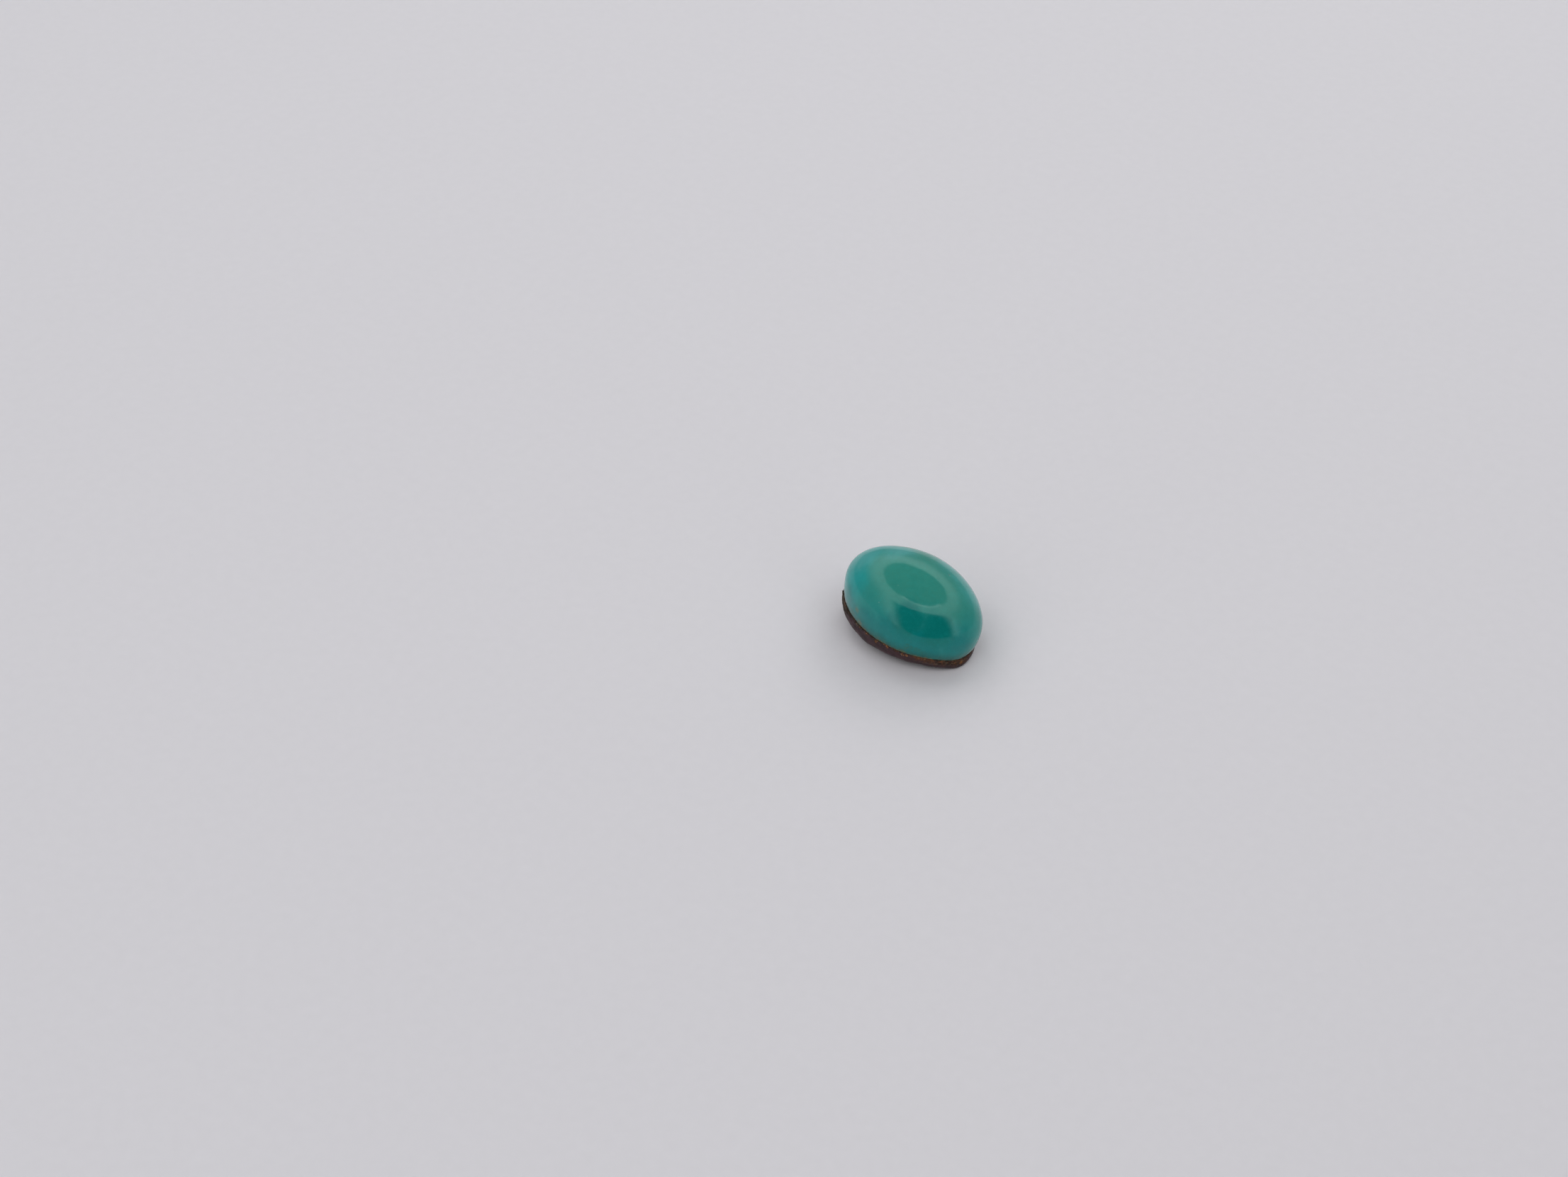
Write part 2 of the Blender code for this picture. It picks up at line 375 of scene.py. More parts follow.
class Effects:
    """The effects that both rocks share, each built once as a node group."""

    def __init__(self) -> None:
        """Builds every group."""
        self.mottle = self._mottle()
        self.blot = self._blot()
        self.grit = self._grit()

    @staticmethod
    def _group(name: str, floats: dict[str, float], vectors: tuple[str, ...],
               outputs: tuple[str, ...]) -> tuple[Graph, bpy.types.Node, bpy.types.Node]:
        """Makes an empty group with its sockets.

        Args:
            name: The effect's name.
            floats: Its number inputs and what they hold at first.
            vectors: Its vector inputs.
            outputs: Its outputs, which are all numbers.

        Returns:
            The group's graph, and its input and output nodes.
        """
        tree = bpy.data.node_groups.new(name, "ShaderNodeTree")
        for vector in vectors:
            tree.interface.new_socket(vector, in_out="INPUT", socket_type="NodeSocketVector")
        for number, value in floats.items():
            socket = tree.interface.new_socket(number, in_out="INPUT", socket_type="NodeSocketFloat")
            socket.default_value = value
        for output in outputs:
            tree.interface.new_socket(output, in_out="OUTPUT", socket_type="NodeSocketFloat")
        graph = Graph(tree)
        return graph, graph.add("NodeGroupInput"), graph.add("NodeGroupOutput")

    def _mottle(self) -> bpy.types.NodeTree:
        """Soft patches: a mask that covers about half of the surface."""
        graph, source, result = self._group(
            "mottle", {"Scale": 1.0, "Detail": 3.0, "Middle": 0.5, "Spread": 0.15}, ("Vector",), ("Mask",))
        cloud = graph.cloud(source.outputs["Vector"], source.outputs["Scale"], source.outputs["Detail"],
                            roughness=0.6)
        low = graph.step("SUBTRACT", source.outputs["Middle"], source.outputs["Spread"])
        high = graph.step("ADD", source.outputs["Middle"], source.outputs["Spread"])
        graph.feed(result.inputs["Mask"], graph.ramp(cloud, low, high))
        return graph.tree

    def _blot(self) -> bpy.types.NodeTree:
        """One spot with a ragged edge, round a point of the stone."""
        graph, source, result = self._group(
            "blot", {"Radius": 0.3, "Ragged": 0.15, "Fineness": 6.0}, ("Vector", "Centre"), ("Mask",))
        away = graph.vector("DISTANCE", source.outputs["Vector"], source.outputs["Centre"]).outputs["Value"]
        cloud = graph.cloud(source.outputs["Vector"], source.outputs["Fineness"], detail=3.0, roughness=0.6)
        shift = graph.times(graph.step("SUBTRACT", cloud, 0.5), source.outputs["Ragged"])
        ragged = graph.lift(shift, 4.0, away)
        graph.feed(result.inputs["Mask"], graph.ramp(ragged, source.outputs["Radius"], 0.0))
        return graph.tree

    def _grit(self) -> bpy.types.NodeTree:
        """Packed grains: a mask of some of them, a tone for each and their height."""
        graph, source, result = self._group(
            "grit", {"Scale": 5.0, "Share": 0.5, "Size": 0.5}, ("Vector",), ("Mask", "Tone", "Height"))
        cells = graph.add("ShaderNodeTexVoronoi", {"Vector": source.outputs["Vector"],
                                                   "Scale": source.outputs["Scale"], "Randomness": 1.0})
        tones = graph.add("ShaderNodeSeparateColor", {0: cells.outputs["Color"]})
        chosen = graph.step("LESS_THAN", tones.outputs[0], source.outputs["Share"])
        dome = graph.ramp(cells.outputs["Distance"], source.outputs["Size"], 0.0)
        graph.feed(result.inputs["Mask"], graph.times(chosen, graph.ramp(dome, 0.05, 0.4)))
        graph.feed(result.inputs["Tone"], tones.outputs[1])
        graph.feed(result.inputs["Height"], dome)
        return graph.tree


@dataclass(frozen=True)
class Spot:
    """A mark at one place of the turquoise, and how large and strong it is."""

    centre: Colour
    radius: float
    strength: float = 1.0


@dataclass(frozen=True)
class Zone:
    """Broad soft-edged places of the stone that lean towards one colour."""

    colour: Colour
    spots: tuple[Spot, ...]


@dataclass(frozen=True)
class Cloud:
    """Soft patches all over the stone: their scale and strength, and the middle and spread of their edge."""

    scale: float
    strength: float
    middle: float
    spread: float


class Paint(Graph):
    """The node tree of one rock's material, with the stone's own axes and the shared effects at hand."""

    def __init__(self, name: str, effects: Effects) -> None:
        """Starts a material whose patterns lie in the stone's own axes, in millimetres.

        Args:
            name: The material's name.
            effects: The shared node groups.
        """
        self.material = bpy.data.materials.new(name)
        self.material.use_nodes = True
        super().__init__(self.material.node_tree)
        self.effects = effects
        place = self.add("ShaderNodeTexCoord").outputs["Object"]
        self.own = self.add("ShaderNodeMapping", {
            "Vector": place, "Location": LIE.seam_centre(), "Rotation": LIE.rotation().to_euler(),
            "Scale": (MM, MM, MM)}, vector_type="TEXTURE").outputs["Vector"]

    def height(self) -> Socket:
        """Height above the seam's level, in millimetres."""
        return self.add("ShaderNodeSeparateXYZ", {0: self.own}).outputs["Z"]

    def haze(self, scale: float, detail: float = 2.0, roughness: float = 0.5) -> Socket:
        """Soft noise over the rock, between 0 and 1, so many patches to a millimetre."""
        return self.cloud(self.own, scale, detail, roughness)

    def effect(self, group: bpy.types.NodeTree, **values: object) -> bpy.types.Node:
        """Places a shared effect over the rock, with its own values."""
        inputs = {name.capitalize(): value for name, value in values.items()}
        return self.add("ShaderNodeGroup", {"Vector": self.own, **inputs}, node_tree=group)

    def patches(self, **values: float) -> Socket:
        """A mask of soft patches over the rock."""
        return self.effect(self.effects.mottle, **values).outputs["Mask"]

    def grit(self, **values: float) -> bpy.types.NodeOutputs:
        """Packed grains over the rock: their mask, tone and height."""
        return self.effect(self.effects.grit, **values).outputs

    def clouded(self, colour: Socket, tone: Colour, clouds: tuple[Cloud, ...]) -> Socket:
        """A colour with clouds of one tone in it."""
        for cloud in clouds:
            mask = self.patches(scale=cloud.scale, middle=cloud.middle, spread=cloud.spread)
            colour = self.blend(mask, colour, tone, cloud.strength)
        return colour

    def marks(self, spots: tuple[Spot, ...], ragged: float) -> Socket:
        """One mask for several spots.

        Args:
            spots: The spots.
            ragged: How ragged their edges are, against their radius.

        Returns:
            The mask.
        """
        waves_to_radius = 2.2
        total: object = 0.0
        for spot in spots:
            mark = self.effect(self.effects.blot, centre=spot.centre, radius=spot.radius,
                               ragged=ragged * spot.radius, fineness=waves_to_radius / spot.radius)
            total = self.most(total, self.times(mark.outputs["Mask"], spot.strength))
        return total

    def shade(self, inputs: Inputs) -> bpy.types.Material:
        """Feeds the shader, and hands over the finished material."""
        self.fill(self.tree.nodes["Principled BSDF"], inputs)
        return self.material


@dataclass(frozen=True)
class TurquoiseFinish:
    """Polished turquoise: blue-green with porcelain clouds, olive stains by the seam and a few pits."""

    green: Colour = (0.040, 0.280, 0.224)
    blue: Colour = (0.010, 0.300, 0.300)
    # under: painted shade, the dark colour that the turquoise goes over into towards the seam, where the
    # flank curves under
    under: Colour = (0.008, 0.085, 0.078)
    pale: Colour = (0.018, 0.420, 0.375)
    deep: Colour = (0.004, 0.200, 0.176)
    olive: Colour = (0.175, 0.150, 0.060)
    moss: Colour = (0.030, 0.120, 0.070)
    rind: Colour = (0.090, 0.085, 0.040)
    chalk: Colour = (0.34, 0.50, 0.40)
    # painted shade: the dark colour laid into pits and pinholes
    pit_shade: Colour = (0.015, 0.060, 0.045)
    under_shade_strength: float = 0.92
    sag_reach: float = 3.4
    pale_clouds: tuple[Cloud, ...] = (Cloud(0.5, 0.06, 0.55, 0.16), Cloud(2.4, 0.10, 0.58, 0.16),
                                      Cloud(9.0, 0.10, 0.60, 0.16))
    deep_clouds: tuple[Cloud, ...] = (Cloud(1.1, 0.16, 0.56, 0.14), Cloud(26.0, 0.14, 0.56, 0.14))
    roughness: float = 0.10
    refraction: float = 1.55
    mirror_tint: Colour = (0.52, 0.70, 0.64)
    glow: float = 0.10
    glow_radius: Colour = (0.4, 1.0, 0.9)
    glow_mm: float = 0.35
    zones: tuple[Zone, ...] = (
        Zone((0.014, 0.350, 0.345), (Spot((-5.8, -2.9, 2.8), 4.2), Spot((-6.6, 0.4, 3.8), 4.0))),
        Zone((0.0, 0.310, 0.305), (Spot((4.5, 4.0, 3.0), 3.6, 0.7),)),
        Zone((0.070, 0.384, 0.374), (
            Spot((-5.7, -1.2, 4.7), 2.8, 0.7), Spot((-3.4, 1.0, 5.9), 3.2, 0.55),
            Spot((-4.6, 3.6, 4.0), 3.6, 0.7))),
        # painted shade: this zone darkens the lower front flank, and a little of the back
        Zone((0.0, 0.215, 0.213), (
            Spot((-3.3, -4.7, 0.9), 1.8, 0.8), Spot((-4.9, -3.8, 1.6), 2.3, 0.55),
            Spot((-1.8, -5.1, 1.2), 2.6, 0.9), Spot((1.2, -5.2, 1.8), 3.2),
            Spot((4.4, -4.3, 1.7), 3.2), Spot((6.6, -2.2, 2.0), 3.0, 0.7), Spot((3.0, 4.4, 1.0), 2.4, 0.3))),
        # painted shade: darker patches on the front flank below the crown
        Zone((0.0, 0.186, 0.168), (Spot((2.2, -4.5, 3.8), 2.6), Spot((4.9, -3.4, 3.5), 2.6))),
        Zone((0.052, 0.380, 0.360), (
            Spot((4.8, 2.3, 4.8), 3.0, 0.56), Spot((3.1, 2.8, 5.3), 2.8, 0.50),
            Spot((1.3, 3.1, 5.5), 3.0, 0.52))))
    stains: tuple[Spot, ...] = (
        Spot((-3.25, -4.66, 1.61), 0.50, 0.75), Spot((-2.59, -4.82, 0.45), 0.52, 0.95),
        Spot((-4.4, 3.9, 1.2), 0.55, 0.7), Spot((5.3, 3.1, 0.8), 0.45, 0.8))
    mosses: tuple[Spot, ...] = (
        Spot((3.02, -4.73, 1.10), 0.60, 0.45), Spot((3.85, -4.36, 1.00), 0.42, 0.35),
        Spot((4.35, -4.05, 0.90), 0.40, 0.30), Spot((0.9, 5.1, 1.0), 0.60, 0.5))
    flecks: tuple[Spot, ...] = (
        Spot((-0.39, -3.02, 5.59), 0.08, 0.4), Spot((-1.12, -4.64, 3.93), 0.09, 0.7),
        Spot((2.40, 1.43, 5.96), 0.09, 0.9), Spot((-3.9, 2.2, 5.0), 0.10, 0.7))
    pits: tuple[Spot, ...] = (Spot((2.26, 1.53, 5.97), 0.11), Spot((-2.7, 3.6, 4.4), 0.09))

    def _body(self, paint: Paint, level: Socket) -> Socket:
        """The stone's colour, from its blue flanks to a painted shade towards the seam, with the clouds in
        it.
        """
        flank = paint.ramp(paint.lift(paint.haze(scale=0.35, detail=3.0), 2.4, paint.height()), 7.2, 4.0)
        colour = paint.blend(flank, self.green, self.blue, strength=0.5)
        for zone in self.zones:
            mask = paint.ramp(paint.marks(zone.spots, ragged=0.12), 0.0, 0.62)
            colour = paint.blend(mask, colour, zone.colour)
        # painted shade: the turquoise darkens towards the seam, beneath the flank's curve
        low = paint.ramp(paint.lift(paint.haze(scale=0.9, detail=3.0), -0.9, level), 1.0, -0.45)
        colour = paint.blend(low, colour, self.under, self.under_shade_strength)
        colour = paint.clouded(colour, self.pale, self.pale_clouds)
        colour = paint.clouded(colour, self.deep, self.deep_clouds)
        dots = paint.grit(scale=1.9, share=0.16, size=0.09)["Mask"]
        return paint.blend(dots, colour, self.pale, strength=0.35)

    def material(self, effects: Effects) -> bpy.types.Material:
        """Builds the material.

        Args:
            effects: The shared node groups.

        Returns:
            The material.
        """
        paint = Paint("polished_turquoise", effects)
        seam = OVAL.beside_seam(OVAL.sag.turn, 0.0, 0.0)
        sunk = paint.effect(effects.blot, centre=tuple(seam), radius=self.sag_reach, ragged=0.0, fineness=1.0)
        level = paint.lift(sunk.outputs["Mask"], OVAL.sag.height, paint.height())
        colour = self._body(paint, level)

        stains = paint.marks(self.stains, ragged=0.35)
        creep = paint.times(paint.ramp(level, 1.3, 0.0),
                            paint.patches(scale=1.3, detail=5.0, middle=0.62, spread=0.07))
        mossy = paint.marks(self.mosses, ragged=0.9)
        colour = paint.blend(paint.most(mossy, paint.times(creep, 0.4)), colour, self.moss)
        stained = paint.most(stains, paint.times(creep, 0.3))
        colour = paint.blend(stained, colour, self.olive, strength=0.75)
        ragged = paint.haze(scale=3.0, detail=5.0, roughness=0.65)
        rind = paint.ramp(paint.lift(ragged, -0.7, level), 0.0, -0.30)
        tan = paint.ramp(paint.haze(scale=2.2, detail=4.0, roughness=0.6), 0.45, 0.65)
        colour = paint.blend(rind, colour, paint.blend(tan, self.rind, self.olive), strength=0.9)
        colour = paint.blend(paint.marks(self.flecks, ragged=0.2), colour, self.chalk, strength=0.5)
        pinholes = paint.grit(scale=0.62, share=0.10, size=0.035)["Mask"]
        pits = paint.most(paint.marks(self.pits, ragged=0.25), pinholes)
        # painted shade: pits and pinholes darkened
        colour = paint.blend(pits, colour, self.pit_shade, strength=0.75)

        smudge = paint.step("SUBTRACT", paint.haze(scale=0.7, detail=3.0), 0.5)
        dull = paint.lift(smudge, 0.10, self.roughness)
        for mask, rise in ((paint.haze(scale=14.0), 0.03), (paint.most(rind, pits), 0.35), (stained, 0.10)):
            dull = paint.lift(mask, rise, dull)

        normal = paint.bump(paint.haze(scale=1.6), microns=4.0)
        normal = paint.bump(paint.haze(scale=22.0, detail=3.0), microns=0.35, under=normal)
        normal = paint.bump(paint.step("SUBTRACT", 1.0, pits), microns=22.0, under=normal)
        normal = paint.bump(paint.times(paint.haze(scale=9.0, detail=4.0), rind), microns=30.0, under=normal)

        return paint.shade({
            "Base Color": colour, "Roughness": dull, "Normal": normal, "IOR": self.refraction,
            "Specular Tint": rgba(self.mirror_tint), "Subsurface Weight": self.glow,
            "Subsurface Radius": self.glow_radius, "Subsurface Scale": self.glow_mm * MM})


@dataclass(frozen=True)
class IronstoneFinish:
    """The matrix: a smooth purple-brown side, a granular dark crust, and rust that follows the mesh."""

    purple: Colour = (0.059, 0.026, 0.032)
    dusk: Colour = (0.031, 0.015, 0.018)
    bloom: Colour = (0.105, 0.062, 0.064)
    crust: Colour = (0.030, 0.016, 0.010)
    umber: Colour = (0.068, 0.032, 0.018)
    dust: Colour = (0.115, 0.090, 0.058)
    moss: Colour = (0.070, 0.062, 0.038)
    tan: Colour = (0.240, 0.170, 0.095)
    orange: Colour = (0.270, 0.105, 0.030)
    russet: Colour = (0.092, 0.038, 0.018)
    # painted highlight: the light colour laid along the ridge of the rough front band
    painted_ridge_highlight: Colour = (0.230, 0.150, 0.090)
    # crevice: painted shade, the dark colour laid into the creases between crust grains
    crevice: Colour = (0.010, 0.006, 0.004)
    ridge_below: float = 0.25
    ridge_half_width: float = 0.045
    refraction: float = 1.55
    gloss: float = 0.28

    def _side(self, paint: Paint) -> Socket:
        """Colour of the smooth side: purple-brown with umber films and pale blooms."""
        side = paint.blend(paint.patches(scale=1.1, detail=5.0), self.purple, self.dusk)
        film = paint.patches(scale=3.2, detail=6.0, middle=0.62, spread=0.08)
        side = paint.blend(film, side, self.umber, strength=0.45)
        blooms = paint.grit(scale=7.0, share=0.22, size=0.30)["Mask"]
        return paint.blend(blooms, side, self.bloom, strength=0.30)

    def material(self, effects: Effects) -> bpy.types.Material:
        """Builds the material.

        Args:
            effects: The shared node groups.

        Returns:
            The material.
        """
        paint = Paint("ironstone_matrix", effects)
        crusty, rusty = (paint.add("ShaderNodeAttribute", attribute_name=name).outputs["Fac"]
                         for name in ("crust", "rust"))
        coarse = paint.grit(scale=4.2, share=1.0, size=0.75)
        fine = paint.grit(scale=13.0, share=0.5, size=0.60)

        grains = paint.blend(paint.ramp(coarse["Tone"], 0.35, 0.75), self.crust, self.umber)
        grains = paint.blend(paint.ramp(coarse["Tone"], 0.80, 0.86), grains, self.moss)
        tan = paint.times(fine["Mask"], paint.ramp(fine["Tone"], 0.80, 0.84))
        grains = paint.blend(tan, grains, self.tan, strength=0.75)
        dusty = paint.times(paint.ramp(crusty, 0.55, 0.85), paint.patches(scale=4.5, detail=5.0))
        grains = paint.blend(dusty, grains, self.dust, strength=0.6)
        crumbs = paint.haze(scale=6.0, detail=5.0, roughness=0.65)
        crust = paint.ramp(paint.lift(crumbs, 0.7, crusty), 0.68, 0.86)
        colour = paint.blend(crust, self._side(paint), grains)

        flaky = paint.haze(scale=4.5, detail=6.0, roughness=0.7)
        rust = paint.ramp(paint.lift(flaky, 1.1, rusty), 0.88, 1.18)
        hot = paint.lift(paint.haze(scale=7.0, detail=5.0, roughness=0.7), 0.6, paint.times(rusty, 0.5))
        ochre = paint.blend(paint.ramp(hot, 0.58, 0.82), self.russet, self.orange)
        ochre = paint.blend(tan, ochre, self.tan, strength=0.6)
        colour = paint.blend(rust, colour, ochre, strength=0.92)

        # painted highlight: a light line along the ridge below the crust, where the band is rusty
        strayed = paint.lift(paint.haze(scale=1.6, detail=4.0), 0.34, paint.height())
        off_ridge = paint.step("ABSOLUTE", paint.step("ADD", strayed, self.ridge_below))
        on_ridge = paint.ramp(off_ridge, self.ridge_half_width, 0.0)
        painted_ridge_highlight = paint.times(paint.times(on_ridge, paint.ramp(rusty, 0.2, 0.4)),
                           paint.ramp(paint.haze(scale=2.4, detail=4.0), 0.42, 0.58))
        colour = paint.blend(painted_ridge_highlight, colour, self.painted_ridge_highlight, strength=0.6)
        # painted shade: the creases between the crust's grains darkened
        painted_crease_shade = paint.times(paint.ramp(coarse["Height"], 0.30, 0.04), crust)
        colour = paint.blend(painted_crease_shade, colour, self.crevice, strength=0.6)

        rough = paint.most(crust, rust)
        dull = paint.lift(paint.haze(scale=5.0, detail=4.0), 0.22, 0.38)
        dull = paint.lift(rough, 0.27, dull)

        normal = paint.bump(paint.haze(scale=2.6, detail=5.0, roughness=0.6), microns=22.0)
        normal = paint.bump(paint.haze(scale=16.0, detail=5.0, roughness=0.65), microns=5.0, under=normal)
        normal = paint.bump(paint.times(coarse["Height"], crust), microns=24.0, under=normal)
        normal = paint.bump(paint.times(fine["Height"], rough), microns=10.0, under=normal)

        return paint.shade({"Base Color": colour, "Roughness": dull, "Normal": normal,
                            "IOR": self.refraction, "Specular IOR Level": self.gloss})


@dataclass(frozen=True)
class GrainFinish:
    """A finish for loose-looking grains: two colours, stirred within each grain."""

    name: str
    body: Colour
    vein: Colour
    roughness: float = 0.6

    def material(self, effects: Effects) -> bpy.types.Material:
        """Builds the material.

        Args:
            effects: The shared node groups.

        Returns:
            The material.
        """
        paint = Paint(self.name, effects)
        broad = paint.patches(scale=3.0, detail=4.0)
        fine = paint.patches(scale=19.0, detail=4.0, spread=0.1)
        share = paint.lift(fine, 0.4, paint.times(broad, 0.6))
        return paint.shade({
            "Base Color": paint.blend(share, self.body, self.vein),
            "Roughness": paint.lift(fine, 0.15, self.roughness),
            "Normal": paint.bump(paint.haze(scale=20.0, detail=4.0, roughness=0.65), microns=9.0)})


# --- turquoise -------------------------------------------------------------------------------

@dataclass
class Cabochon:
    """The polished stone: a flat base, a skirt that swells to the girdle, and the crown."""

    girdle_height: float = 1.91
    crown_height: float = 4.50
    segments: int = 256
    skirt_rings: int = 16
    crown_rings: int = 64
    hand_wave: float = 0.010
    hand_wave_spacing: float = 3.2
    sag_fade: int = 6
    flat: Swell = Swell(0.15, 306.0, 9.0)
    flat_heights: tuple[float, float, float] = (1.8, 3.4, 4.9)
    sharp_degrees: float = 40.0
    finish: TurquoiseFinish = field(default_factory=TurquoiseFinish)

    def _skirt(self, swing: float) -> Place:
        """A ring of the skirt: it rounds in from the girdle (0) to the base (a quarter turn)."""
        height = self.girdle_height * (1.0 - math.sin(swing))

        def place(turn: float) -> Vector:
            """Point of the ring."""
            scale = OVAL.seam_scale(turn) + (1.0 - OVAL.seam_scale(turn)) * math.cos(swing)
            sag = OVAL.sag.at(turn) * math.sin(swing) ** self.sag_fade
            return OVAL.girdle(turn) * scale + Vector((0.0, 0.0, height - sag))
        return place

    def _crown(self, reach: float) -> Place:
        """A ring of the crown, from the girdle (1) to the top (0)."""
        height = self.girdle_height + self.crown_height * math.sqrt(1.0 - reach ** 2)
        return lambda turn: OVAL.girdle(turn) * reach + Vector((0.0, 0.0, height))

    def _ground_off(self, point: Vector) -> float:
        """How deep the flank is ground a little flatter at a point, where the stone was held longer."""
        bottom, middle, top = self.flat_heights
        share = ease(bottom, middle, point.z) * ease(top, middle, point.z)
        return self.flat.at(OVAL.turn_of(point), share)

    def _polish(self, piece: bpy.types.Object) -> None:
        """Leaves the slow waviness of hand polishing in the dome, and the flatter flank."""
        for vert, normal in [(vert, vert.normal.copy()) for vert in piece.data.vertices]:
            fade = min(1.0, max(0.0, vert.co.z / self.girdle_height))
            lift = bumps(vert.co, self.hand_wave_spacing, self.hand_wave * fade)
            vert.co += normal * (lift - self._ground_off(vert.co))

    def build(self, effects: Effects) -> bpy.types.Object:
        """Models and dresses the stone.

        Args:
            effects: The shared node groups.

        Returns:
            The piece.
        """
        quarter = math.pi / 2
        shell = RingShell("turquoise_stone", self.segments, lambda turn: OVAL.core(turn, 0.0))
        for ring in range(self.skirt_rings + 1):
            shell.draw_out(self._skirt(quarter * (1.0 - ring / self.skirt_rings)))
        for ring in range(1, self.crown_rings + 1):
            shell.draw_out(self._crown(math.cos(quarter * ring / (self.crown_rings + 1))))
        piece = shell.close(Vector((0.0, 0.0, self.girdle_height + self.crown_height)))
        piece.data.attributes.remove(piece.data.attributes["crust"])
        self._polish(piece)
        LIE.stand(piece)
        dress(piece, self.finish.material(effects), self.sharp_degrees)
        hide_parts("turquoise")
        return piece


# --- matrix ----------------------------------------------------------------------------------

@dataclass(frozen=True)
class RustPatch:
    """A patch of rust in the crust: the angle round the stone, height, reach and strength."""

    degrees: float
    height: float
    reach: float
    strength: float = 0.8


@dataclass
class MatrixRock:
    """The ironstone left on the back: lip, crust, smooth side and lumpy belly."""

    seat_gap: float = 0.01
    seat_crust: float = 0.3
    creep: float = 0.11
    creep_mean: float = 0.6
    creep_out: float = 0.012
    lip_out: float = 0.15
    lip_wave: float = 0.05
    lip_crumble: float = 0.09
    lip_sink: float = 0.35
    spur: Swell = Swell(0.17, 205.0, 40.0)
    tooth: Swell = Swell(0.20, 204.8, 170.0)
    tooth_fade: float = 0.75
    bay: Swell = Swell(0.13, 210.0, 70.0)
    crust_depth: float = 0.30
    crust_fade: float = 0.42
    crust_fade_swing: float = 0.6
    crust_full: float = 1.4
    crumble_run: float = 3.0
    crust_cover: float = 0.38
    crevice_crust: float = 0.62
    belly_cover: float = 0.50
    belly_least: float = 0.12
    grain: float = 0.10
    plate_thinnest: float = 0.92
    plate_thickest: float = 1.28
    plate_wave: float = 0.10
    plate_power: float = 1.5
    notch: Swell = Swell(0.16, 288.0, 45.0)
    side_bulge: float = 0.06
    heel: Swell = Swell(0.16, 349.0, 26.0)
    border_tuck: float = 0.16
    floor_clearance: float = 0.03
    lump: float = 0.34
    small_lump: float = 0.136
    belly_curve: float = 1.35
    rest_length: float = 8.4
    rest_width: float = 5.6
    rest_offset: float = 1.2
    rest_wave: float = 0.22
    rough_front: Swell = Swell(1.0, 338.0, 4.5)
    rough_cover: float = 0.62
    rough_least: float = 0.1
    rough_fade: float = 0.7
    crumbled: Swell = Swell(1.0, 205.0, 12.0)
    crumbled_cover: float = 0.9
    broken_back: Swell = Swell(1.0, 97.0, 10.0)
    broken_mean: float = 0.85
    broken_swing: float = 0.45
    ridge_height: float = -0.42
    ridge_width: float = 0.10
    ridge_rise: float = 0.045
    pebble_height: float = 0.060
    pebble_sink: float = 0.032
    rust_below: float = -0.95
    rust_rise: float = 0.35
    front_rust: float = 0.44
    stray_rust: float = 0.30
    stray_rust_scale: float = 0.45
    rust_out: float = 0.2
    segments: int = 640
    ledge_rings: int = 4
    crust_rings: int = 12
    side_rings: int = 14
    belly_rings: int = 26
    sharp_degrees: float = 60.0
    patches: tuple[RustPatch, ...] = (
        RustPatch(222.0, 0.00, 0.30, 0.35), RustPatch(258.0, -0.04, 0.18, 0.60),
        RustPatch(268.0, -0.16, 0.20, 0.80), RustPatch(276.0, 0.02, 0.20, 0.80),
        RustPatch(278.5, -0.04, 0.18, 0.80), RustPatch(282.5, 0.00, 0.18, 0.50),
        RustPatch(286.5, -0.06, 0.22, 0.80), RustPatch(291.5, -0.06, 0.20, 0.60),
        RustPatch(294.9, -0.10, 0.15, 0.90), RustPatch(301.0, 0.02, 0.34, 0.50),
        RustPatch(306.0, 0.00, 0.36, 0.54), RustPatch(311.5, -0.02, 0.34, 0.54),
        RustPatch(318.0, 0.00, 0.30, 0.48), RustPatch(327.0, 0.00, 0.24, 0.36),
        RustPatch(341.0, 0.02, 0.22, 0.40), RustPatch(349.0, -0.30, 0.16, 0.60),
        RustPatch(60.0, -0.30, 0.90, 0.70), RustPatch(118.0, -0.10, 0.50, 0.80),
        RustPatch(160.0, -0.50, 0.80, 0.60))
    finish: IronstoneFinish = field(default_factory=IronstoneFinish)

    def _lip_reach(self, turn: float) -> float:
        """Where the lip's top runs, outside the seam."""
        wave = wander(turn, waves=3.0, phase=0.7) + math.cos(2.0 * (turn - self.spur.turn))
        return self.lip_out + self.lip_wave * wave - self.bay.at(turn)

    def _lip_height(self, turn: float) -> float:
        """Top of the lip above the seam: crumbled along its length, with one spur."""
        return self.lip_crumble * (wander(turn, waves=9.0, phase=2.3) - self.lip_sink) + self.spur.at(turn)

    def _thickness(self, turn: float) -> float:
        """Depth of the lower border below the seam."""
        share = (0.5 + 0.5 * math.cos(turn - self.spur.turn)) ** self.plate_power
        wave = self.plate_wave * wander(turn, waves=4.0, phase=5.1) - self.notch.at(turn)
        return self.plate_thinnest + (self.plate_thickest - self.plate_thinnest) * share + wave

    def _ledge(self, share: float) -> Place:
        """A ring of the narrow ledge that creeps up against the turquoise (0) and runs out to the lip (1)."""
        def place(turn: float) -> Vector:
            """Point of the ring."""
            swing = wander(turn, waves=14.0, phase=8.8)
            fine_swing = 0.5 * wander(turn, waves=31.0, phase=4.4)
            creep = self.creep * (self.creep_mean + swing + fine_swing)
            inner = OVAL.beside_seam(turn, self.creep_out, max(0.0, creep))
            lip = self._lip_reach(turn) + self.tooth.at(turn)
            return inner.lerp(OVAL.beside_seam(turn, lip, self._lip_height(turn)), share)
        return place

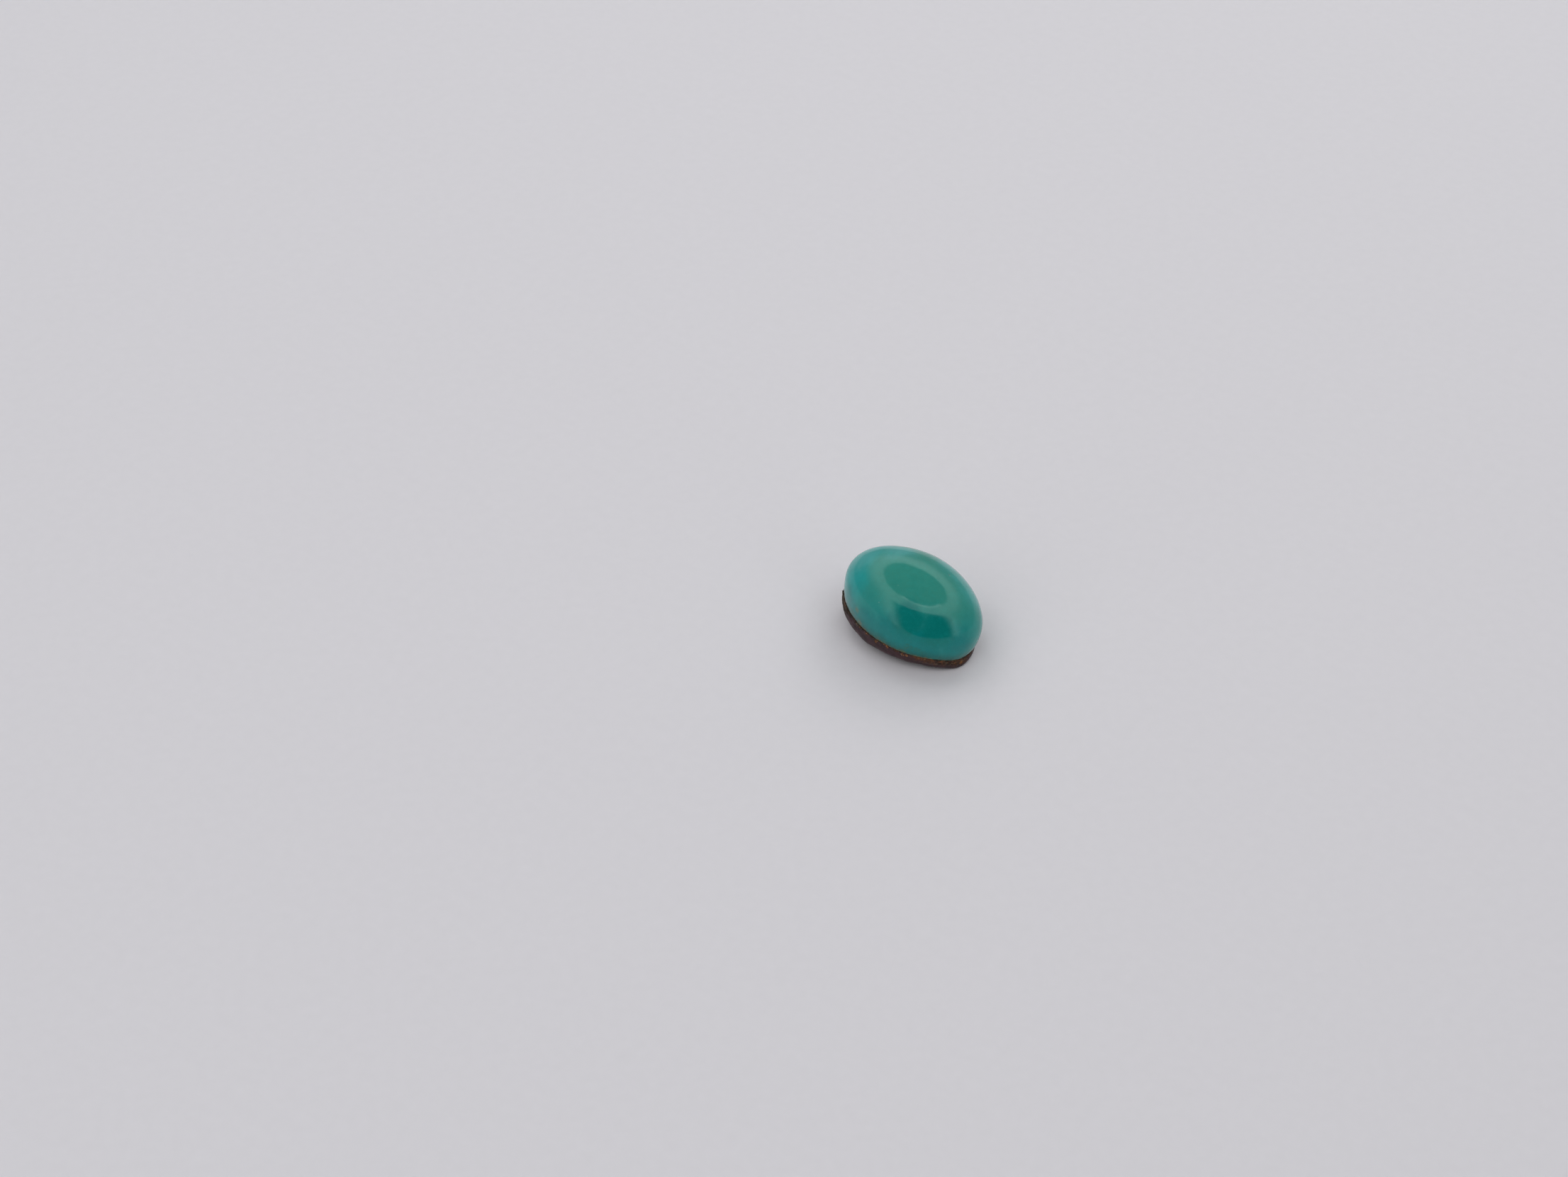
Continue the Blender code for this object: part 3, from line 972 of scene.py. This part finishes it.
    def _band(self, share: float) -> Place:
        """A ring of the granular band, from the lip (0) to the plate's side (1)."""
        def place(turn: float) -> Vector:
            """Point of the ring."""
            out = 0.5 * self.side_bulge * share + self.tooth.at(turn) * (1.0 - self.tooth_fade * share)
            height = self._lip_height(turn) - self.crust_depth * share
            point = OVAL.beside_seam(turn, self._lip_reach(turn) + out, height)
            return point + OVAL.outward(turn) * bumps(point, spacing=0.42, height=self.grain)
        return place

    def _side(self, share: float) -> Place:
        """A ring of the plate's side: 0 just under the crust, 1 at the lower border."""
        def place(turn: float) -> Vector:
            """Point of the ring."""
            out = self.side_bulge * math.sin(math.pi * share) - self.border_tuck * share ** 3
            out += (1.0 - self.tooth_fade) * self.tooth.at(turn) * (1.0 - share)
            out += self.heel.at(turn, share)
            depth = self.crust_depth + (self._thickness(turn) - self.crust_depth) * share
            point = OVAL.beside_seam(turn, self._lip_reach(turn) + out, -depth)
            point += OVAL.outward(turn) * bumps(point, spacing=1.7, height=0.5 * self.grain)
            lying = LIE.leaned() @ point
            lying.z = max(lying.z, self.floor_clearance * (2.0 - share))
            return LIE.leaned().inverted() @ lying
        return place

    def _rest_edge(self, turn: float) -> Vector:
        """Point of the flat's edge, on the floor."""
        middle = self.rest_offset * Vector((math.cos(LIE.toward), math.sin(LIE.toward), 0.0))
        reach = 1.0 + self.rest_wave * wander(turn, waves=2.2, phase=3.4)
        edge = Vector((self.rest_length / 2 * math.cos(turn), self.rest_width / 2 * math.sin(turn), 0.0))
        return middle + edge * reach

    def _belly(self, share: float) -> Place:
        """A ring of the underside, from the lower border (0) to the flat it rests on (1)."""
        border_at = self._side(1.0)

        def place(turn: float) -> Vector:
            """Point of the ring."""
            border = LIE.leaned() @ border_at(turn)
            point = border.lerp(self._rest_edge(turn), share)
            point.z = border.z * (1.0 - share) ** self.belly_curve
            lump = bumps(point, spacing=1.6, height=self.lump)
            lump += bumps(point, spacing=0.7, height=self.small_lump)
            lump *= math.sqrt(math.sin(math.pi * share))
            point.z = max(point.z + lump, self.floor_clearance) if share < 1.0 else 0.0
            return LIE.leaned().inverted() @ point
        return place

    def _broken_front(self, turn: float) -> float:
        """How granular the side is where it is rough at the front right, from 0 to 1."""
        return self.rough_cover * self.rough_front.at(turn) - self.rough_least

    def _broken_back(self, turn: float) -> float:
        """How granular the side is where it is broken open at the back, from 0 to 1."""
        ragged = self.broken_mean + self.broken_swing * wander(turn, waves=8.0, phase=6.1)
        return min(1.0, ragged * self.broken_back.at(turn))

    def _ledge_crust(self, turn: float, share: float) -> float:
        """How granular the ledge is, from the seam (0) to the lip (1)."""
        cover = self.crevice_crust + (self.crust_cover - self.crevice_crust) * share
        return max(cover, self.crumbled.at(turn))

    def _band_crust(self, turn: float, share: float) -> float:
        """How granular the band is, from the lip (0) to the plate's side (1)."""
        crumbled = self.crumbled.at(turn)
        swing = self.crust_fade_swing * wander(turn, waves=6.0, phase=1.9)
        depth = self.crust_fade * (1.0 + swing) + self.crumble_run * crumbled
        most = self.crust_cover + (1.0 - self.crust_cover) * crumbled
        fading = most * min(1.0, self.crust_full - share / depth)
        return max(fading, self._broken_front(turn), self._broken_back(turn), 0.0)

    def _side_crust(self, turn: float, share: float) -> float:
        """How granular the plate's side is, from just under the crust (0) to the lower border (1)."""
        broken = self._broken_front(turn) * (1.0 - self.rough_fade * share)
        return max(self.crumbled_cover * self.crumbled.at(turn), broken, self._broken_back(turn), 0.0)

    def _belly_crust(self, turn: float, share: float) -> float:
        """How granular the underside is: in patches, with smoother rock between them."""
        patchy = self.belly_cover + bumps(self._belly(share)(turn), spacing=1.9, height=0.8)
        return min(1.0, max(self.belly_least, patchy))

    def _rust(self, point: Vector, centres: list[Vector]) -> float:
        """How rusty the rock is at a point, from 0 to 1, with the patches' centres."""
        upper = min(1.0, max(0.0, (point.z - self.rust_below) / self.rust_rise))
        total = self.front_rust * upper * self.rough_front.at(OVAL.turn_of(point))
        total += self.stray_rust * max(0.0, noise.noise(point * self.stray_rust_scale))
        for patch, centre in zip(self.patches, centres):
            total += patch.strength * math.exp(-((point - centre).length / patch.reach) ** 2)
        return min(1.0, total)

    def _weather(self, piece: bpy.types.Object) -> None:
        """Breaks the surface up with grains, chips and pores, and notes where the rust is."""
        mesh = piece.data
        crusts = [item.value for item in mesh.attributes["crust"].data]
        rust = mesh.attributes.new("rust", "FLOAT", "POINT")
        centres = [OVAL.beside_seam(math.radians(patch.degrees), self.rust_out, patch.height)
                   for patch in self.patches]
        leaned = LIE.leaned()
        upright = leaned.inverted()
        normals = [vert.normal.copy() for vert in mesh.vertices]
        places = [vert.co.copy() for vert in mesh.vertices]
        for index, (point, normal, crust) in enumerate(zip(places, normals, crusts)):
            rust.data[index].value = self._rust(point, centres)
            grainy = pebbles(point, spacing=0.24, height=self.pebble_height) - self.pebble_sink
            grainy += bumps(point, spacing=0.11, height=0.030)
            smooth = bumps(point, spacing=0.9, height=0.030) + bumps(point, spacing=0.28, height=0.008)
            ridge = self.ridge_rise * self.rough_front.at(OVAL.turn_of(point)) * math.exp(
                -((point.z - self.ridge_height) / self.ridge_width) ** 2)
            moved = point + normal * (crust * grainy + (1.0 - crust) * smooth + ridge)
            if (leaned @ point).z > 0.5 * self.floor_clearance:
                lying = leaned @ moved
                lying.z = max(lying.z, 0.3 * self.floor_clearance)
                mesh.vertices[index].co = upright @ lying

    def model(self) -> bpy.types.Object:
        """Models the rock in the stone's own axes.

        Returns:
            The piece, not yet stood or dressed.
        """
        shell = RingShell("matrix_rock", self.segments, lambda turn: OVAL.core(turn, -self.seat_gap))
        shell.draw_out(lambda turn: OVAL.beside_seam(turn, 0.0, -self.seat_gap), lambda turn: self.seat_crust)
        bands = (
            (self._ledge, self._ledge_crust, self.ledge_rings, range(self.ledge_rings)),
            (self._band, self._band_crust, self.crust_rings, range(self.crust_rings + 1)),
            (self._side, self._side_crust, self.side_rings, range(1, self.side_rings + 1)),
            (self._belly, self._belly_crust, self.belly_rings, range(1, self.belly_rings + 1)))
        for place, crust, count, rings in bands:
            for share in [ring / count for ring in rings]:
                shell.draw_out(place(share), lambda turn: crust(turn, share))
        piece = shell.close()
        self._weather(piece)
        return piece

    def finish_off(self, piece: bpy.types.Object, effects: Effects) -> None:
        """Stands and dresses the modelled rock."""
        LIE.stand(piece)
        dress(piece, self.finish.material(effects), self.sharp_degrees)
        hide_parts("matrix")


# --- grains in the crust ---------------------------------------------------------------------

class GrainKind(Enum):
    """The kinds of grain that sit in the crust."""

    RUST = GrainFinish("rust_grains", (0.30, 0.125, 0.036), (0.13, 0.055, 0.024))
    PALE = GrainFinish("pale_grains", (0.30, 0.230, 0.150), (0.16, 0.105, 0.060))
    DARK = GrainFinish("dark_grains", (0.026, 0.016, 0.013), (0.065, 0.038, 0.028), roughness=0.5)


@dataclass(frozen=True)
class Nugget:
    """One grain with a place of its own: angle round the stone, height and size."""

    degrees: float
    height: float
    size: float


@dataclass
class CrustGrains:
    """Grains of one kind, scattered along the crust and set at places of their own."""

    kind: GrainKind
    count: int
    seed: int
    smallest: float = 0.022
    largest: float = 0.060
    nuggets: tuple[Nugget, ...] = ()
    everywhere: float = 1.0
    more_in_front: float = 0.0
    search_out: float = 0.35
    slack: float = 0.0001
    sunk: float = 0.45
    bias_to_small: float = 2.5
    heights: tuple[float, float] = (-0.18, 0.05)
    proportions: tuple[float, float, float] = (1.15, 0.95, 0.75)
    stretch: tuple[float, float] = (0.75, 1.3)
    sharp_degrees: float = 70.0

    def _grain(self) -> bpy.types.Object:
        """One angular grain of unit size."""
        bpy.ops.object.select_all(action="DESELECT")
        bpy.ops.mesh.primitive_ico_sphere_add(subdivisions=2, radius=1.0)
        grain = bpy.context.object
        bpy.ops.object.mode_set(mode="EDIT")
        bpy.ops.mesh.select_all(action="SELECT")
        bpy.ops.transform.resize(value=self.proportions)
        bpy.ops.object.mode_set(mode="OBJECT")
        for vert in grain.data.vertices:
            vert.co *= 1.0 + bumps(vert.co + Vector((self.seed, 0.0, 0.0)), spacing=0.8, height=0.35)
        return grain

    def _perches(self, draw: random.Random, front: Swell) -> list[Nugget]:
        """Places for the scattered grains, more of them along the front where the kind asks for it."""
        places = []
        while len(places) < self.count:
            degrees = draw.uniform(0.0, 360.0)
            if draw.random() > self.everywhere + self.more_in_front * front.at(math.radians(degrees)):
                continue
            size = self.smallest + (self.largest - self.smallest) * draw.random() ** self.bias_to_small
            places.append(Nugget(degrees, draw.uniform(*self.heights), size))
        return places

    def _perch_at(self, surface: BVHTree, near: Vector) -> tuple[Vector, Vector]:
        """The surface's nearest point and the normal there: of faces that are equally near, the last's."""
        reach = surface.find_nearest(near)[3] + self.slack
        faces = surface.find_nearest_range(near, reach)
        point, normal, _, _ = min(faces, key=lambda face: (face[3], -face[2], tuple(face[1])))
        return point, normal

    def build(self, surface: BVHTree, front: Swell, effects: Effects) -> bpy.types.Object:
        """Sets the grains into the rock.

        Args:
            surface: The rock's surface, in the stone's own axes.
            front: Where the rock's front is rough.
            effects: The shared node groups.

        Returns:
            The joined grains.
        """
        draw = random.Random(self.seed)
        grain = self._grain()
        copies = []
        for nugget in [*self.nuggets, *self._perches(draw, front)]:
            turn = math.radians(nugget.degrees)
            near = OVAL.beside_seam(turn, self.search_out, nugget.height)
            point, normal = self._perch_at(surface, near)
            spin = Euler([draw.uniform(0.0, 2.0 * math.pi) for _ in range(3)]).to_matrix().to_4x4()
            sizes = [nugget.size * draw.uniform(*self.stretch) for _ in range(3)]
            sunk = Matrix.Translation(point - normal * self.sunk * nugget.size)
            copy = grain.copy()
            copy.data = grain.data.copy()
            copy.matrix_world = sunk @ spin @ Matrix.Diagonal((*sizes, 1.0))
            bpy.context.collection.objects.link(copy)
            copies.append(copy)
        bpy.data.objects.remove(grain)
        work_on(copies[0])
        for copy in copies:
            copy.select_set(True)
        bpy.ops.object.join()
        piece = bpy.context.object
        bpy.ops.object.transform_apply(location=True, rotation=True, scale=True)
        piece.name = piece.data.name = self.kind.value.name
        LIE.stand(piece)
        dress(piece, self.kind.value.material(effects), self.sharp_degrees)
        return piece


# --- studio ----------------------------------------------------------------------------------

@dataclass(frozen=True)
class StudioCamera:
    """The camera, by its picture: the frame in pixels, and where the middle of the seam falls in it."""

    frame_px: tuple[float, float] = (2212.0, 1661.0)
    focal_px: float = 4128.0
    px_per_mm: float = 14.7
    seam_centre_px: tuple[float, float] = (1283.55, 870.51)
    sensor_mm: float = 36.0
    clip_start_m: float = 0.001
    azimuth: float = math.radians(38.3)
    elevation: float = math.radians(41.0)

    def axes(self) -> tuple[Vector, Vector, Vector]:
        """The camera's right, up and forward directions."""
        turn = Matrix.Rotation(self.azimuth, 3, "Z")
        sine, cosine = math.sin(self.elevation), math.cos(self.elevation)
        own = ((1.0, 0.0, 0.0), (0.0, sine, cosine), (0.0, cosine, -sine))
        return tuple(turn @ Vector(direction) for direction in own)

    def build(self) -> bpy.types.Object:
        """Makes the camera and has the scene use it.

        Returns:
            The camera.
        """
        right, up, forward = self.axes()
        across = self.seam_centre_px[0] - self.frame_px[0] / 2
        above = self.frame_px[1] / 2 - self.seam_centre_px[1]
        offset = (forward * self.focal_px + right * across + up * above) * (MM / self.px_per_mm)
        data = bpy.data.cameras.new("studio_camera")
        data.sensor_width = self.sensor_mm
        data.lens = self.sensor_mm * self.focal_px / self.frame_px[0]
        data.clip_start = self.clip_start_m
        camera = bpy.data.objects.new("studio_camera", data)
        bpy.context.scene.collection.objects.link(camera)
        stand = Matrix((right, up, -forward)).transposed().to_4x4()
        stand.translation = LIE.seam_centre() - offset
        camera.matrix_world = stand
        bpy.context.scene.camera = camera
        return camera


@dataclass(frozen=True)
class SoftLight:
    """A round soft light: its direction from the camera's side, its height and its power in watts."""

    name: str
    azimuth: float
    elevation: float
    power: float
    size: float = 0.22
    distance: float = 0.45

    def build(self, toward: Vector) -> None:
        """Hangs the light, which lights the stone but isn't mirrored in it.

        Args:
            toward: Level direction from the stone to the camera.
        """
        light = bpy.data.lights.new(self.name, "AREA")
        light.shape = "DISK"
        light.size = self.size
        light.energy = self.power
        lamp = bpy.data.objects.new(self.name, light)
        bpy.context.scene.collection.objects.link(lamp)
        level = Matrix.Rotation(math.radians(self.azimuth), 3, "Z") @ toward
        height = math.radians(self.elevation)
        ray = level * math.cos(height) + Vector((0.0, 0.0, math.sin(height)))
        lamp.location = LIE.seam_centre() + ray * self.distance
        lamp.rotation_euler = ray.to_track_quat("Z", "Y").to_euler()
        lamp.visible_glossy = False


@dataclass(frozen=True)
class LightTent:
    """A white tent with a round hole in its roof and an opening towards the camera, both dark.

    The cloth is brightest where it frames them, and a pale batten runs between the two.
    """

    wall: float = 0.27
    frame: float = 1.36
    frame_fall: float = 2.4
    frame_inner: float = 0.06
    frame_outer: float = 0.70
    batten: float = 2.90
    batten_bottom: float = math.radians(62.9)
    batten_top: float = math.radians(65.4)
    batten_edge: float = 0.008
    batten_front: tuple[float, float] = (0.18, 0.26)
    wall_tint: Colour = (1.0, 0.992, 1.0)
    dark: float = 0.05
    hole_across: float = math.radians(33.2)
    hole_along: float = math.radians(35.5)
    hole_back: float = math.radians(11.5)
    hole_edge: float = 0.012
    hole_frame_spread: float = 0.7
    least_depth: float = 0.05
    opening_left: float = math.radians(34.0)
    opening_right: float = math.radians(25.0)
    flare_left: float = 0.50
    flare_right: float = 0.20
    opening_top: float = math.radians(45.5)
    opening_edge: float = 0.03
    opening_side_blur: float = 4.5
    opening_corner: float = 0.10
    lights: tuple[SoftLight, ...] = (
        SoftLight("soft_front", -30.0, 32.0, 0.16), SoftLight("soft_right_back", 150.0, 32.0, 0.11),
        SoftLight("soft_left_back", -150.0, 58.0, 0.215), SoftLight("soft_top_back", 150.0, 58.0, 0.11))

    def build(self, camera: StudioCamera) -> None:
        """Makes the tent as the world, and hangs the soft lights in it.

        Args:
            camera: The camera that the opening faces.
        """
        right, _, forward = camera.axes()
        toward = -Vector((forward.x, forward.y, 0.0)).normalized()
        world = bpy.data.worlds.new("light_tent")
        world.use_nodes = True
        bpy.context.scene.world = world
        graph = Graph(world.node_tree)
        way = graph.add("ShaderNodeTexCoord").outputs["Generated"]

        def along(direction: Vector) -> Socket:
            """How far the view goes in a direction."""
            return graph.vector("DOT_PRODUCT", way, direction).outputs["Value"]

        hole_at = Vector((0.0, 0.0, math.cos(self.hole_back))) - toward * math.sin(self.hole_back)
        depth = graph.most(along(hole_at), self.least_depth)
        across = graph.step("DIVIDE", along(right / math.tan(self.hole_across)), depth)
        lengthwise = graph.step("DIVIDE", along(right.cross(hole_at) / math.tan(self.hole_along)), depth)
        spread = graph.add("ShaderNodeCombineXYZ", {0: across, 1: lengthwise}).outputs[0]
        reach = graph.vector("LENGTH", spread)
        rim_width = 0.5 * math.sin(2.0 * self.hole_across)
        into_hole = graph.lift(reach.outputs["Value"], -rim_width, rim_width)
        above = along(Vector((0.0, 0.0, 1.0)))
        past_left = graph.lift(above, self.flare_left, along(
            toward * math.sin(self.opening_left) + right * math.cos(self.opening_left)))
        past_right = graph.lift(above, self.flare_right, along(
            toward * math.sin(self.opening_right) - right * math.cos(self.opening_right)))
        under_top = graph.step("SUBTRACT", math.sin(self.opening_top), above)
        past_sides = graph.step("MINIMUM", past_left, past_right)
        into_opening = graph.step("SMOOTH_MIN", graph.step("DIVIDE", past_sides, self.opening_side_blur),
                                  under_top, self.opening_corner)

        hole = graph.ramp(into_hole, -self.hole_edge, self.hole_edge)
        opening = graph.ramp(into_opening, -self.opening_edge, self.opening_edge)
        nearest = graph.most(graph.times(into_hole, self.hole_frame_spread),
                             graph.step("MINIMUM", past_sides, under_top))
        framing = graph.ramp(nearest, -self.frame_outer, -self.frame_inner)
        framing = graph.step("POWER", framing, self.frame_fall)
        batten = graph.band(above, math.sin(self.batten_bottom), math.sin(self.batten_top), self.batten_edge)
        batten = graph.times(batten, graph.ramp(along(toward), *self.batten_front))
        strength = graph.mix(framing, self.wall, self.frame)
        strength = graph.mix(graph.most(hole, opening), strength, self.dark)
        strength = graph.mix(batten, strength, self.batten)
        background = graph.tree.nodes["Background"]
        graph.feed(background.inputs["Color"], rgba(self.wall_tint))
        graph.feed(background.inputs["Strength"], strength)
        for light in self.lights:
            light.build(toward)


@dataclass(frozen=True)
class Floor:
    """The plain pale sheet that the stone lies on."""

    size_m: float = 3.0
    gap_m: float = 0.00001
    colour: Colour = (0.802, 0.795, 0.832)
    fibre_shade: float = 0.96
    fibres_per_m: float = 900.0
    roughness: float = 0.6

    def build(self) -> bpy.types.Object:
        """Makes the floor.

        Returns:
            The floor.
        """
        bpy.ops.object.select_all(action="DESELECT")
        bpy.ops.mesh.primitive_plane_add(size=self.size_m, location=(0.0, 0.0, -self.gap_m))
        floor = bpy.context.object
        floor.name = "floor"
        material = bpy.data.materials.new("pale_sheet")
        material.use_nodes = True
        graph = Graph(material.node_tree)
        shader = graph.tree.nodes["Principled BSDF"]
        place = graph.add("ShaderNodeTexCoord").outputs["Object"]
        tone = graph.cloud(place, self.fibres_per_m, detail=3.0)
        shade = tuple(self.fibre_shade * channel for channel in self.colour)
        graph.feed(shader.inputs["Base Color"], graph.blend(tone, shade, self.colour))
        graph.feed(shader.inputs["Roughness"], self.roughness)
        floor.data.materials.append(material)
        return floor


# --- the whole -------------------------------------------------------------------------------

def report(piece: bpy.types.Object) -> None:
    """Logs a finished piece and its size."""
    corners = [[vert.co[axis] / MM for vert in piece.data.vertices] for axis in range(3)]
    size = " x ".join(f"{max(reach) - min(reach):.2f}" for reach in corners)
    log.info("%s: %d faces, %s mm", piece.name, len(piece.data.polygons), size)


def main() -> None:
    """Builds the stone and its studio, piece by piece."""
    logging.basicConfig(level=logging.INFO, format="%(message)s")
    bpy.context.scene.view_settings.view_transform = "Standard"
    camera = StudioCamera()
    camera.build()
    LightTent().build(camera)
    Floor().build()
    effects = Effects()

    report(Cabochon().build(effects))

    matrix = MatrixRock()
    rock = matrix.model()
    lots = (
        CrustGrains(GrainKind.RUST, 70, 11, everywhere=0.15, more_in_front=0.85, nuggets=(
            Nugget(275.6, 0.03, 0.12), Nugget(277.2, 0.0, 0.13), Nugget(278.8, -0.05, 0.10),
            Nugget(295.0, -0.10, 0.15), Nugget(293.2, -0.12, 0.09), Nugget(291.2, -0.05, 0.07),
            Nugget(258.4, -0.02, 0.08), Nugget(259.6, -0.06, 0.06), Nugget(268.3, -0.16, 0.06))),
        CrustGrains(GrainKind.PALE, 34, 23, everywhere=0.6, nuggets=(
            Nugget(244.5, -0.06, 0.06), Nugget(245.6, -0.10, 0.05), Nugget(290.0, -0.18, 0.06),
            Nugget(291.0, -0.24, 0.05))),
        CrustGrains(GrainKind.DARK, 260, 37))
    surface = steady_surface(rock)
    for grains in lots:
        report(grains.build(surface, matrix.rough_front, effects))
    matrix.finish_off(rock, effects)
    report(rock)


if __name__ == "__main__":
    main()
